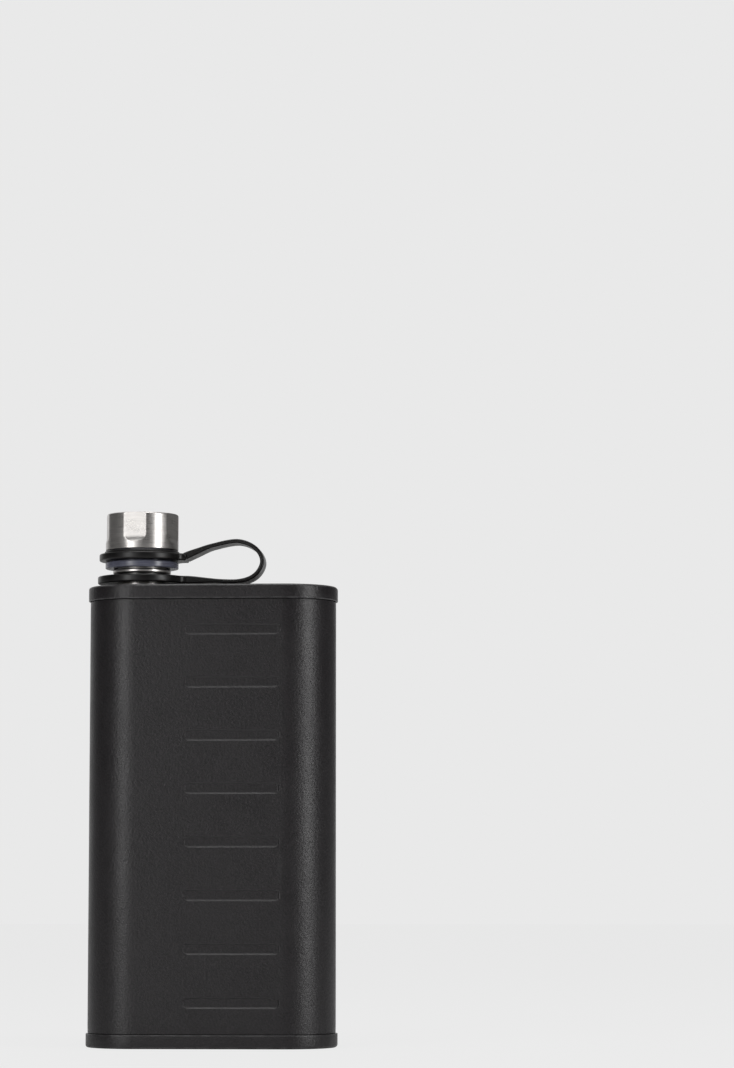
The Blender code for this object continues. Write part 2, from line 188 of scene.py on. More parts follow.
class NodeSheet:
    """A node tree that is filled by adding nodes with their settings and sockets."""

    def __init__(self, tree):
        self.tree = tree

    def add(self, kind, settings=None, sockets=None, output=0):
        """Add a node, set it, feed its sockets and return one of its outputs."""
        node = self.tree.nodes.new(kind)
        for setting, value in (settings or {}).items():
            if setting == "stops":
                self.set_stops(node.color_ramp, value)
            else:
                setattr(node, setting, value)
        for name, value in (sockets or {}).items():
            self.feed(node.inputs[name], value)
        return Signal(self, node.outputs[output])

    def feed(self, socket, value):
        if isinstance(value, Signal):
            self.tree.links.new(value.socket, socket)
        elif isinstance(value, tuple) and len(value) == 3 and len(socket.default_value) == 4:
            socket.default_value = (*value, 1.0)
        else:
            socket.default_value = value

    def set_stops(self, ramp, stops):
        for _ in range(len(stops) - 2):
            ramp.elements.new(0.5)
        for element, (position, level) in zip(ramp.elements, stops):
            element.position = position
            element.color = (level, level, level, 1.0)

    def ramp(self, value, start, end, low_level=0.0, high_level=1.0):
        """A smooth step of a value from one level to another."""
        return self.add("ShaderNodeMapRange", {"interpolation_type": "SMOOTHSTEP", "clamp": True},
                        {"Value": value, "From Min": start, "From Max": end,
                         "To Min": low_level, "To Max": high_level})

    def mix(self, share, first, second):
        """Blend of two colours."""
        return self.add("ShaderNodeMix", {"data_type": "RGBA"}, {0: share, 6: first, 7: second}, 2)


class Finish(NodeSheet):
    """A material around one Principled shader, with places measured in the frame's metres."""

    def __init__(self, name, **uniform):
        self.material = bpy.data.materials.new(name)
        self.material.use_nodes = True
        super().__init__(self.material.node_tree)
        self.shader = self.tree.nodes["Principled BSDF"]
        for socket, value in uniform.items():
            self.feed(self.shader.inputs[socket.replace("_", " ")], value)
        self.place = self.add("ShaderNodeTexCoord", output="Object")

    def axis(self, index):
        return self.add("ShaderNodeSeparateXYZ", None, {0: self.place}, index)

    def grain(self, scale, detail=2.0, roughness=0.5, place=None):
        """Noise with the given number of cells in a metre."""
        return self.add("ShaderNodeTexNoise", {"noise_dimensions": "3D"},
                        {"Vector": place or self.place, "Scale": scale, "Detail": detail,
                         "Roughness": roughness})

    def stretch(self, x, y, z):
        return self.add("ShaderNodeVectorMath", {"operation": "MULTIPLY"}, {0: self.place, 1: (x, y, z)})

    def ring_place(self, around, along):
        """Place whose last part grows with height and radius, for marks that run round the neck's axis."""
        offset = self.add("ShaderNodeVectorMath", {"operation": "SUBTRACT"},
                          {0: self.place, 1: (NECK_X, 0.0, 0.0)})
        level = self.add("ShaderNodeVectorMath", {"operation": "MULTIPLY"}, {0: offset, 1: (1.0, 1.0, 0.0)})
        radius = self.add("ShaderNodeVectorMath", {"operation": "LENGTH"}, {0: level}, "Value")
        run = (radius + self.axis(2)) * along
        return self.add("ShaderNodeCombineXYZ", None,
                        {0: self.axis(0) * around, 1: self.axis(1) * around, 2: run})

    def bump(self, height, depth, strength=1.0, under=None):
        """Normal of a surface raised by a height of 0 to 1 times a depth in metres."""
        sockets = {"Height": height, "Distance": depth, "Strength": strength}
        if under is not None:
            sockets["Normal"] = under
        return self.add("ShaderNodeBump", None, sockets)

    def set(self, **varying):
        for socket, value in varying.items():
            self.feed(self.shader.inputs[socket.replace("_", " ")], value)
        return self.material


def plain(colour):
    return tuple(colour)


def coat_finish(name, colours, rub_and_sheen_heights, slope_sheen=0.0):
    """Fine matt powder coat: dimpled, faintly clouded, rubbed smooth near the given heights, where a lighter
    colour is also painted on as a highlight; faces tilted up or down get the same painted highlight.
    """
    finish = Finish(name, Metallic=0.0, Specular_IOR_Level=0.5)
    cloud = finish.grain(90.0, 3.0)
    fleck = finish.grain(2600.0, 2.0, 0.6)
    pebble = finish.grain(1500.0, 3.0, 0.65)
    rub_and_sheen_noise = finish.grain(420.0, 3.0)
    # Painted highlight: the lighter coat colour in thin lines at the given heights, where the rolled skirt
    # edges catch light; noise breaks it up like rubbed coat.
    rub_and_sheen = 0.0
    for height in rub_and_sheen_heights:
        offset = finish.axis(2) - height
        near = finish.ramp(offset * offset, 0.0, (0.35 * MM) ** 2, 1.0, 0.0)
        rub_and_sheen = near + rub_and_sheen
    rub_and_sheen = rub_and_sheen * finish.ramp(rub_and_sheen_noise, 0.38, 0.62, 0.25, 0.8)
    scuffs = finish.ramp(finish.grain(3.0, 4.0, 0.7, finish.stretch(60.0, 60.0, 18.0)), 0.69, 0.74)
    slope = finish.add("ShaderNodeNewGeometry", output="Normal")
    lean = finish.add("ShaderNodeSeparateXYZ", None, {0: slope}, 2)
    # Painted highlight: the lighter coat colour on faces that tilt up or down, such as the grooves' walls.
    edges = finish.ramp(lean * lean, 0.04, 0.3, 0.0, slope_sheen)
    scuffs_and_sheen = rub_and_sheen + scuffs * 0.12 + edges
    tone = finish.mix(finish.ramp(fleck, 0.35, 0.7), tuple(0.45 * c for c in colours.coat),
                      tuple(1.9 * c for c in colours.coat))
    # Lighter coat colour where the painted highlights and the scuffs are.
    colour = finish.mix(scuffs_and_sheen, tone, plain(colours.coat_rub_and_sheen))
    roughness = finish.ramp(cloud, 0.3, 0.7, 0.36, 0.42) - scuffs_and_sheen * 0.08
    normal = finish.bump(pebble, 0.1 * MM, 1.0)
    return finish.set(Base_Color=colour, Roughness=roughness, Normal=normal)


def steel_finish(name, colours, roughness, line_depth):
    """Steel with fine lines round the neck's axis."""
    finish = Finish(name, Metallic=1.0)
    fine = finish.grain(1.0, 3.0, 0.6, finish.ring_place(260.0, 9000.0))
    broad = finish.grain(1.0, 2.0, 0.5, finish.ring_place(90.0, 1900.0))
    cloud = finish.grain(240.0, 2.0)
    shade = finish.ramp(fine * 0.6 + broad * 0.4, 0.3, 0.7, 0.84, 1.06)
    colour = finish.add("ShaderNodeVectorMath", {"operation": "SCALE"},
                        {0: plain(colours.steel), "Scale": shade})
    rough = finish.ramp(fine * 0.5 + cloud * 0.5, 0.3, 0.7, roughness - 0.05, roughness + 0.07)
    normal = finish.bump(fine * 0.7 + broad * 0.3, line_depth, 0.6)
    return finish.set(Base_Color=colour, Roughness=rough, Normal=normal)


def silicone_finish(name, colours):
    """Moulded silicone: satin, faintly dusty, with a fine mould grain."""
    finish = Finish(name, Metallic=0.0, Specular_IOR_Level=0.38)
    grain = finish.grain(3200.0, 2.0)
    cloud = finish.grain(260.0, 3.0)
    tone = finish.mix(finish.ramp(cloud, 0.35, 0.7), tuple(0.85 * c for c in colours.silicone),
                      tuple(1.3 * c for c in colours.silicone))
    rough = finish.ramp(cloud, 0.3, 0.7, 0.3, 0.38)
    normal = finish.bump(grain, 0.012 * MM, 0.5)
    return finish.set(Base_Color=tone, Roughness=rough, Normal=normal)


def collar_finish(name, colours):
    """Glossy moulded plastic with faint flow clouds and hairline rub marks round it."""
    finish = Finish(name, Metallic=0.0, Specular_IOR_Level=0.6)
    cloud = finish.grain(300.0, 2.0)
    lines = finish.grain(1.0, 2.0, 0.5, finish.ring_place(180.0, 6000.0))
    tone = finish.mix(finish.ramp(cloud, 0.3, 0.7), tuple(0.9 * c for c in colours.collar),
                      tuple(1.15 * c for c in colours.collar))
    rough = finish.ramp(lines, 0.3, 0.7, 0.22, 0.32)
    normal = finish.bump(lines, 0.004 * MM, 0.4)
    return finish.set(Base_Color=tone, Roughness=rough, Normal=normal)


def seal_finish(name, colours):
    """Pale satin silicone."""
    finish = Finish(name, Metallic=0.0)
    cloud = finish.grain(500.0, 3.0)
    dull = tuple(0.92 * c for c in colours.seal)
    tone = finish.mix(finish.ramp(cloud, 0.3, 0.7), dull, plain(colours.seal))
    rough = finish.ramp(cloud, 0.3, 0.7, 0.45, 0.58)
    return finish.set(Base_Color=tone, Roughness=rough,
                      Normal=finish.bump(finish.grain(2500.0), 0.01 * MM, 0.5))


# ---------------------------------------------------------------- mesh making


def filleted(corners, steps=5):
    """Turn (across, height, fillet) corners into a profile whose corners are arcs; ends stay sharp."""
    points = []
    for index, (across, height, radius) in enumerate(corners):
        corner = Vector((across, height))
        if radius == 0.0:
            points.append(corner)
            continue
        before = Vector(corners[index - 1][:2]) - corner
        after = Vector(corners[(index + 1) % len(corners)][:2]) - corner
        bend = before.angle(after)
        back = min(radius / math.tan(bend / 2.0), 0.5 * before.length, 0.5 * after.length)
        fillet = back * math.tan(bend / 2.0)
        bisector = (before.normalized() + after.normalized()).normalized()
        middle = corner + bisector * (fillet / math.sin(bend / 2.0))
        first = corner + before.normalized() * back - middle
        last = corner + after.normalized() * back - middle
        sweep = first.angle_signed(last)
        for step in range(steps + 1):
            spoke = first.copy()
            angle = -sweep * step / steps
            cosine, sine = math.cos(angle), math.sin(angle)
            points.append(middle + Vector((spoke.x * cosine - spoke.y * sine,
                                           spoke.x * sine + spoke.y * cosine)))
    return points


def skin(rings, closed):
    """Vertices and quads that join rings of equal count; open ends are capped."""
    count = len(rings[0])
    vertices = [point for ring in rings for point in ring]
    faces = []
    spans = len(rings) if closed else len(rings) - 1
    for span in range(spans):
        near, far = span * count, ((span + 1) % len(rings)) * count
        for i in range(count):
            j = (i + 1) % count
            faces.append((near + i, near + j, far + j, far + i))
    if not closed:
        faces.append(tuple(reversed(range(count))))
        faces.append(tuple(range(len(vertices) - count, len(vertices))))
    return vertices, faces


def make_piece(name, vertices, faces, material, node_body, replaced, sharp=32.0):
    """A finished mesh that rides on a body in place of its frame nodes."""
    mesh = bpy.data.meshes.new(name)
    mesh.from_pydata(vertices, [], faces)
    mesh.validate()
    mesh.shade_smooth()
    mesh.set_sharp_from_angle(angle=math.radians(sharp))
    mesh.materials.append(material)
    piece = bpy.data.objects.new(name, mesh)
    bpy.context.scene.collection.objects.link(piece)
    turn_faces_out(piece)
    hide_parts(*replaced)
    if node_body:
        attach(piece, node_body)
    return piece


def turn_faces_out(piece):
    """Point every face of a closed mesh away from its inside."""
    bpy.context.view_layer.objects.active = piece
    piece.select_set(True)
    bpy.ops.object.mode_set(mode="EDIT")
    bpy.ops.mesh.select_all(action="SELECT")
    bpy.ops.mesh.normals_make_consistent(inside=False)
    bpy.ops.object.mode_set(mode="OBJECT")
    piece.select_set(False)


def dense(points, spacing):
    """Add points so that no two neighbours of a profile lie further apart than the spacing."""
    filled = []
    for start, end in zip(points, points[1:]):
        steps = max(1, math.ceil((end - start).length / spacing))
        filled += [start.lerp(end, step / steps) for step in range(steps)]
    return filled + [points[-1]]


def turned(points, steps, closed, shape=None):
    """Turn a profile round the neck's axis; the shape function may change each radius."""
    rings = []
    for point in points:
        ring = []
        for i in range(steps):
            angle = TURN * i / steps
            radius = shape(point.x, point.y, angle) if shape else point.x
            ring.append(Vector((NECK_X + radius * math.cos(angle), radius * math.sin(angle), point.y)))
        rings.append(ring)
    return skin(rings, closed)


def smooth_step(value, start, end):
    share = min(1.0, max(0.0, (value - start) / (end - start)))
    return share * share * (3.0 - 2.0 * share)


# ---------------------------------------------------------------- body


def plan_points(half_x, half_y, radius, front_columns, steps=20):
    """Plan outline, from the front face's columns round the back, as (x, y) points."""
    points = [Vector((x, -half_y)) for x in front_columns]
    for quarter, (side_x, side_y) in ((3, (1, -1)), (0, (1, 1)), (1, (-1, 1)), (2, (-1, -1))):
        middle = Vector((side_x * (half_x - radius), side_y * (half_y - radius)))
        for step in range(steps + 1):
            angle = math.radians(90.0) * (quarter + step / steps)
            points.append(middle + radius * Vector((math.cos(angle), math.sin(angle))))
    return points


def graded(start, end, scuffs_and_sheen, fine, reach_out, coarse):
    """Numbers from start to end, close together near the marks and wide apart elsewhere."""
    values = [start]
    while values[-1] < end - fine / 2.0:
        at = values[-1]
        near = any(abs(at - mark) < reach_out + fine / 10.0 for mark in scuffs_and_sheen)
        ahead = [mark - reach_out - at for mark in scuffs_and_sheen if mark - reach_out > at]
        values.append(min(end, at + (fine if near else min([coarse] + ahead))))
    return values


def groove_rows(sizes):
    """Heights of the grip grooves' middles."""
    skin_low, skin_high = low("body_shell").z, high("body_shell").z
    span = 0.84 * (skin_high - skin_low) - sizes.groove_width
    middle = (skin_low + skin_high) / 2.0
    count = sizes.groove_count
    return [middle + span * (i / (count - 1) - 0.5) for i in range(count)]


def press_depth(sizes, x, z, rows, middle_x):
    """Depth of the grip grooves at a place on the front."""
    half = sizes.groove_width / 2.0
    run = sizes.groove_length / 2.0 - half
    along = max(0.0, abs(x - middle_x) - run)
    gap = min(math.hypot(along, z - row) for row in rows) - half
    return sizes.groove_depth * (1.0 - smooth_step(gap, -0.4 * MM, 0.0))


def make_body(sizes, colours):
    """Tube with drawn-in ends and a column of pressed grip grooves."""
    half_x, half_y = high("body_shell").x, high("body_shell").y
    base, top = low("body_shell").z, high("body_shell").z
    proud = high("top_plate").x - half_x
    radius = sizes.corner - proud
    draw = (sizes.sheet + 0.3 * MM) - proud
    low_step = high("base_plate").z + 0.3 * MM
    high_step = low("top_plate").z - 0.3 * MM
    rows = groove_rows(sizes)
    middle_x = 6.6 * MM
    ends = [middle_x + side * (sizes.groove_length - sizes.groove_width) / 2.0 for side in (-1.0, 1.0)]
    flat = half_x - radius
    columns = graded(-flat, flat, ends, 0.14 * MM, 2.2 * MM, 1.5 * MM)[1:-1]
    edges = [row + side * sizes.groove_width / 2.0 for row in rows for side in (-1.0, 1.0)]
    heights = graded(low_step + draw, high_step - draw, edges, 0.1 * MM, 0.8 * MM, 2.0 * MM)
    outside = filleted([(draw, base, 0.1 * MM), (draw, low_step - draw / 2, 0.15 * MM),
                        (0.0, low_step + draw / 2, 0.2 * MM)], 4)
    outside += [Vector((0.0, height)) for height in heights[1:-1]]
    outside += filleted([(0.0, high_step - draw / 2, 0.2 * MM), (draw, high_step + draw / 2, 0.15 * MM),
                         (draw, top, 0.1 * MM)], 4)
    inside = [Vector((draw + sizes.sheet, top)), Vector((draw + sizes.sheet, high_step + draw)),
              Vector((sizes.sheet, high_step - draw)), Vector((sizes.sheet, low_step + draw)),
              Vector((draw + sizes.sheet, low_step - draw)), Vector((draw + sizes.sheet, base))]
    rings = []
    for index, point in enumerate(outside + inside):
        outline = plan_points(half_x - point.x, half_y - point.x, radius - point.x, columns)
        on_face = index < len(outside)
        ring = []
        for x, y in outline:
            if on_face and y < -half_y + point.x + 1e-7:
                y += press_depth(sizes, x, point.y, rows, middle_x)
            ring.append(Vector((x, y, point.y)))
        rings.append(ring)
    vertices, faces = skin(rings, closed=True)
    # 0.55 is the strength of the painted highlight on the grooves' walls.
    material = coat_finish("body_coat", colours, (), 0.55)
    return make_piece("flask_body", vertices, faces, material, "flask", ["body_shell"])


def make_plates(sizes, colours):
    """Pressed top and base plates with rolled skirt edges."""
    flat = high("top_plate").x - sizes.corner
    columns = [flat * (i / 12.0 * 2.0 - 1.0) for i in range(1, 12)]
    top_low, top_high = low("top_plate").z, high("top_plate").z
    half_x, half_y = high("top_plate").x, high("top_plate").y
    # Heights of the painted highlight lines along the skirt's free edge and the top fillet, where they catch
    # light.
    top_sheen_heights = (top_low + 0.1 * MM, top_high - 0.3 * MM)
    corners = [(0.0, top_high, sizes.plate_fillet), (0.0, top_low, sizes.skirt_fillet),
               (sizes.sheet, top_low, 0.1 * MM), (sizes.sheet, top_high - sizes.sheet, 0.3 * MM)]
    face_inset = 3.0 * MM
    profile = filleted([(face_inset, top_high, 0.0)] + corners
                       + [(face_inset, top_high - sizes.sheet, 0.0)], 7)
    hole = reach("neck_spout") - 2.1 * MM
    vertices, faces = plate_with_hole(profile, half_x, half_y, sizes.corner, columns, hole)
    material = coat_finish("top_coat", colours, top_sheen_heights)
    make_piece("flask_top_plate", vertices, faces, material, "flask", ["top_plate"])

    base_high = high("base_plate").z
    step = sizes.rim + sizes.recess
    corners = [(step, sizes.recess, 0.3 * MM), (sizes.rim, 0.0, 0.3 * MM), (0.0, 0.0, sizes.plate_fillet),
               (0.0, base_high, sizes.skirt_fillet), (sizes.sheet, base_high, 0.1 * MM),
               (sizes.sheet, sizes.sheet, 0.3 * MM), (sizes.rim, sizes.sheet, 0.3 * MM),
               (step, sizes.sheet + sizes.recess, 0.3 * MM)]
    inner = step + 1.0 * MM
    profile = filleted([(inner, sizes.recess, 0.0)] + corners
                       + [(inner, sizes.sheet + sizes.recess, 0.0)], 7)
    rings = []
    for point in profile:
        outline = plan_points(half_x - point.x, half_y - point.x, sizes.corner - point.x, columns)
        rings.append([Vector((x, y, point.y)) for x, y in outline])
    vertices, faces = skin(rings, closed=False)
    # Lighter lines along the base skirt's top edge, a painted highlight, and along the foot 0.3 mm above the
    # floor.
    material = coat_finish("base_coat", colours, (base_high - 0.1 * MM, 0.3 * MM))
    make_piece("flask_base_plate", vertices, faces, material, "flask", ["base_plate"])


def plate_with_hole(profile, half_x, half_y, corner, columns, hole):
    """Skirted plate whose faces run in to a round hole on the neck's axis."""
    rings = []
    for point in profile:
        outline = plan_points(half_x - point.x, half_y - point.x, corner - point.x, columns)
        rings.append([Vector((x, y, point.y)) for x, y in outline])
    for end in (0, -1):
        ring = rings[end]
        height = ring[0].z
        circle = []
        for point in ring:
            spoke = Vector((point.x - NECK_X, point.y)).normalized() * hole
            circle.append(Vector((NECK_X + spoke.x, spoke.y, height)))
        shares = (0.5, 1.0) if end else (1.0, 0.5)
        between = [[a.lerp(b, share) for a, b in zip(ring, circle)] for share in shares]
        rings = rings + between if end else between + rings
    return skin(rings, closed=True)


# ---------------------------------------------------------------- neck and cap


def thread_wave(height, angle, base, turns, pitch, foot, crest):
    """Share of a ridge's height at a place on a threaded wall, 0 between ridges."""
    turn = (height - base) / pitch - angle / TURN
    nearest = round(turn)
    offset = abs(turn - nearest) * pitch
    along = nearest + angle / TURN
    fade = smooth_step(along, -0.05, 0.15) * (1.0 - smooth_step(along, turns - 0.15, turns + 0.05))
    return fade * (1.0 - smooth_step(offset, crest / 2.0, foot / 2.0))


THREAD_FOOT = 1.4 * MM
THREAD_CREST = 0.7 * MM
LINER_LOW = low("cap_liner").z
MOUTH = high("neck_spout").z
THREAD_BASE = LINER_LOW + 1.5 * MM
THREAD_TOP = MOUTH - 1.5 * MM
CAP_WALL = 1.3 * MM
CROWN_WALL = 1.2 * MM
CAP_CENTRE = 0.4 * MM
LINER_ROOF = 1.0 * MM
FLAT_HEADING = -95.5


def make_neck(sizes, colours):
    """Turned spout with a polished bead and its thread."""
    flange = reach("neck_spout")
    shank = flange - 2.4 * MM
    root = shank + 0.3 * MM
    bore = shank - 1.2 * MM
    base = low("neck_spout").z
    under = base + 1.0 * MM
    bead_low = high("strap_neck_ring").z + 0.3 * MM
    bead_high = LINER_LOW - 0.3 * MM
    bead = shank + 1.55 * MM
    turns = (THREAD_TOP - THREAD_BASE) / sizes.pitch
    corners = [(bore, base, 0.2 * MM), (flange, base, 0.2 * MM), (flange, under, 0.2 * MM),
               (shank, under, 0.0), (shank, bead_low, 0.15 * MM), (bead, bead_low, 0.42 * MM),
               (bead, bead_high, 0.42 * MM), (root, bead_high, 0.1 * MM), (root, MOUTH, 0.3 * MM),
               (bore, MOUTH, 0.3 * MM)]
    points = filleted(corners, 6)

    def shape(radius, height, angle):
        if abs(radius - root) > 0.01 * MM or height < bead_high + 0.15 * MM or height > MOUTH - 0.35 * MM:
            return radius
        wave = thread_wave(height, angle, THREAD_BASE, turns, sizes.pitch, THREAD_FOOT, THREAD_CREST)
        return radius + sizes.thread * wave

    profile = dense(points + [points[0]], 0.16 * MM)[:-1]
    vertices, faces = turned(profile, 128, True, shape)
    material = steel_finish("neck_steel", colours, 0.32, 0.01 * MM)
    return make_piece("flask_neck", vertices, faces, material, "flask", ["neck_spout"], 50.0)


def make_cap(sizes, colours):
    """Steel cover with scooped grip flats, its liner with the collar, and the seal."""
    radius = reach("cap_shell")
    base, crown = low("cap_shell").z, high("cap_shell").z
    bore = radius - CAP_WALL
    plane = radius - sizes.flat_depth
    scoop_top, scoop = base + 3.9 * MM, 2.0 * MM
    cutter = (scoop ** 2 + sizes.flat_depth ** 2) / (2.0 * sizes.flat_depth)

    def shape(across, height, angle):
        if across < bore + 0.3 * MM:
            return across
        drop = max(0.0, scoop_top - height)
        cut = sizes.flat_depth - (cutter - math.sqrt(max(0.0, cutter ** 2 - min(drop, scoop) ** 2)))
        side = math.radians(FLAT_HEADING) - angle
        step = TURN / sizes.flat_count
        side = (side + step / 2.0) % step - step / 2.0
        return min(across, (plane + sizes.flat_depth - cut) / math.cos(side))

    ceiling = crown - CROWN_WALL
    corners = [(CAP_CENTRE, crown, 0.0), (radius, crown, 0.55 * MM), (radius, base, 0.18 * MM),
               (bore, base, 0.15 * MM), (bore, ceiling, 0.4 * MM), (CAP_CENTRE, ceiling, 0.0)]
    profile = dense(filleted(corners, 6), 0.2 * MM)
    vertices, faces = turned(profile, 480, False, shape)
    material = steel_finish("cap_steel", colours, 0.3, 0.016 * MM)
    make_piece("cap_cover", vertices, faces, material, "cap", ["cap_shell"], 14.0)

    collar = reach("cap_liner")
    wall = collar - 1.65 * MM
    inner = wall - 0.65 * MM
    roof = high("cap_liner").z
    collar_top = LINER_LOW + 1.8 * MM
    turns = (THREAD_TOP - THREAD_BASE) / sizes.pitch - 0.5

    def liner_shape(across, height, angle):
        if abs(across - inner) > 0.01 * MM or height < LINER_LOW + 0.3 * MM:
            return across
        wave = thread_wave(height, angle, THREAD_BASE + sizes.pitch / 2.0, turns, sizes.pitch,
                           THREAD_FOOT, THREAD_CREST)
        return across - sizes.thread * wave

    corners = [(CAP_CENTRE, roof, 0.0), (wall, roof, 0.4 * MM), (wall, collar_top, 0.1 * MM),
               (collar, collar_top, 0.3 * MM), (collar, LINER_LOW, 0.3 * MM), (inner, LINER_LOW, 0.2 * MM),
               (inner, roof - LINER_ROOF, 0.3 * MM), (CAP_CENTRE, roof - LINER_ROOF, 0.0)]
    profile = dense(filleted(corners, 6), 0.18 * MM)
    vertices, faces = turned(profile, 128, False, liner_shape)
    material = collar_finish("collar_plastic", colours)
    make_piece("cap_liner_cup", vertices, faces, material, "cap", ["cap_liner"], 50.0)

    rim = reach("cap_seal")
    low_face, top_face = low("cap_seal").z, high("cap_seal").z
    corners = [(0.3 * MM, top_face, 0.0), (rim, top_face, 0.2 * MM), (rim, low_face, 0.2 * MM),
               (rim - 2.6 * MM, low_face, 0.1 * MM), (rim - 3.0 * MM, low_face + 0.2 * MM, 0.1 * MM),
               (0.3 * MM, low_face + 0.2 * MM, 0.0)]
    vertices, faces = turned(filleted(corners, 5), 96, False)
    material = seal_finish("seal_silicone", colours)
    make_piece("cap_seal_disc", vertices, faces, material, "seal", ["cap_seal"])


# ---------------------------------------------------------------- strap


BAND_FILLET = 2.5 * MM
BAND_COLUMNS = 14
BAND_TAPER = 9.0 * MM
EDGE_STEPS = 4
CAP_RING_HALF = 1.0 * MM
NECK_RING_HALF = 1.05 * MM
CAP_RING_WIDTH = 3.05 * MM
NECK_RING_WIDTH = 5.5 * MM


def edge_points(half, ease):
    """Rounded edge of a strap section from its top face to its bottom face, as (outward, height)."""
    ease = min(ease, 0.8 * half)
    points = []
    for side in (1.0, -1.0):
        quarter = []
        for step in range(1, EDGE_STEPS + 1):
            angle = math.radians(90.0) * step / EDGE_STEPS
            quarter.append((-ease + ease * math.sin(angle), side * (half - ease + ease * math.cos(angle))))
        points += quarter if side > 0.0 else list(reversed(quarter))
    return points


def ring_outline(radius, width):
    """Outer edge of a strap ring with its band, as (place, outward) pairs; the band's columns come first."""
    side = width / 2.0
    start_x = math.sqrt((radius + BAND_FILLET) ** 2 - (side + BAND_FILLET) ** 2)
    touch = math.atan2(side + BAND_FILLET, start_x)
    outline = []
    for i in range(BAND_COLUMNS + 1):
        v = side * (2.0 * i / BAND_COLUMNS - 1.0)
        outward = Vector((0.0, math.copysign(1.0, v))) if i in (0, BAND_COLUMNS) else Vector((1.0, 0.0))
        outline.append((Vector((start_x, v)), outward))
    middle = Vector((start_x, side + BAND_FILLET))
    for i in range(1, 9):
        angle = math.radians(-90.0) - (math.radians(90.0) - touch) * i / 8.0
        spoke = Vector((math.cos(angle), math.sin(angle)))
        outline.append((middle + BAND_FILLET * spoke, -spoke))
    for i in range(1, 80):
        angle = touch + (TURN - 2.0 * touch) * i / 80.0
        spoke = Vector((math.cos(angle), math.sin(angle)))
        outline.append((radius * spoke, spoke))
    mirrored = [(Vector((place.x, -place.y)), Vector((out.x, -out.y)))
                for place, out in outline[BAND_COLUMNS + 1:BAND_COLUMNS + 9]]
    return outline + list(reversed(mirrored)), start_x


def make_ring(builder, radius, bore, middle, half, raised, width, ease):
    """One ring of the strap; returns the edge that its band grows from."""
    outline, start_x = ring_outline(radius, width)
    edges = edge_points(half, ease)
    columns = []
    for index, (place, outward) in enumerate(outline):
        inside_band = 0 < index < BAND_COLUMNS
        spoke = place.normalized()
        if inside_band:
            rim = Vector((place.x, place.y * (width / 2.0 - ease) / (width / 2.0)))
        else:
            rim = place - outward * ease
        top = [(spoke * (bore + away), half + rise) for away, rise in raised]
        last = top[-1][0]
        top += [(last.lerp(rim, share), half) for share in (0.2, 0.4, 0.6, 0.8, 1.0)]
        bottom = [(rim.lerp(spoke * bore, share), -half) for share in (0.0, 0.25, 0.5, 0.75, 1.0)]
        bend = [] if inside_band else [(place + outward * out, height) for out, height in edges]
        keep = [[builder.point(NECK_X + p.x, p.y, middle + z) for p, z in part]
                for part in (top, bend, bottom)]
        columns.append(keep)
    count = len(columns)
    for index in range(count):
        here, there = columns[index], columns[(index + 1) % count]
        parts = (0, 2) if index < BAND_COLUMNS else (0, 1, 2)
        line_here = [number for part in parts for number in here[part]]
        line_there = [number for part in parts for number in there[part]]
        gap = len(here[0]) - 1 if index < BAND_COLUMNS else -1
        for j in range(len(line_here)):
            k = (j + 1) % len(line_here)
            if j != gap:
                builder.faces.append((line_here[j], line_here[k], line_there[k], line_there[j]))
    band = columns[:BAND_COLUMNS + 1]
    top_line = [column[0][-1] for column in band]
    bottom_line = [column[2][0] for column in band]
    return top_line, band[-1][1], bottom_line, band[0][1], start_x


class StrapBuilder:
    """Collects the strap's points and faces."""

    def __init__(self):
        self.points = []
        self.faces = []

    def point(self, x, y, z):
        self.points.append(Vector((x, y, z)))
        return len(self.points) - 1

    def join(self, first, second):
        for i in range(len(first)):
            j = (i + 1) % len(first)
            self.faces.append((first[i], first[j], second[j], second[i]))


def smooth_route(points, steps):
    """Places along a smooth curve through the points."""
    ends = [2.0 * points[0] - points[1]] + points + [2.0 * points[-1] - points[-2]]
    fine = []
    for before, start, end, after in zip(ends, ends[1:], ends[2:], ends[3:]):
        for step in range(steps):
            t = step / steps
            fine.append(0.5 * (2.0 * start + (end - before) * t
                               + (2.0 * before - 5.0 * start + 4.0 * end - after) * t ** 2
                               + (3.0 * start - before - 3.0 * end + after) * t ** 3))
    return fine + [points[-1]]


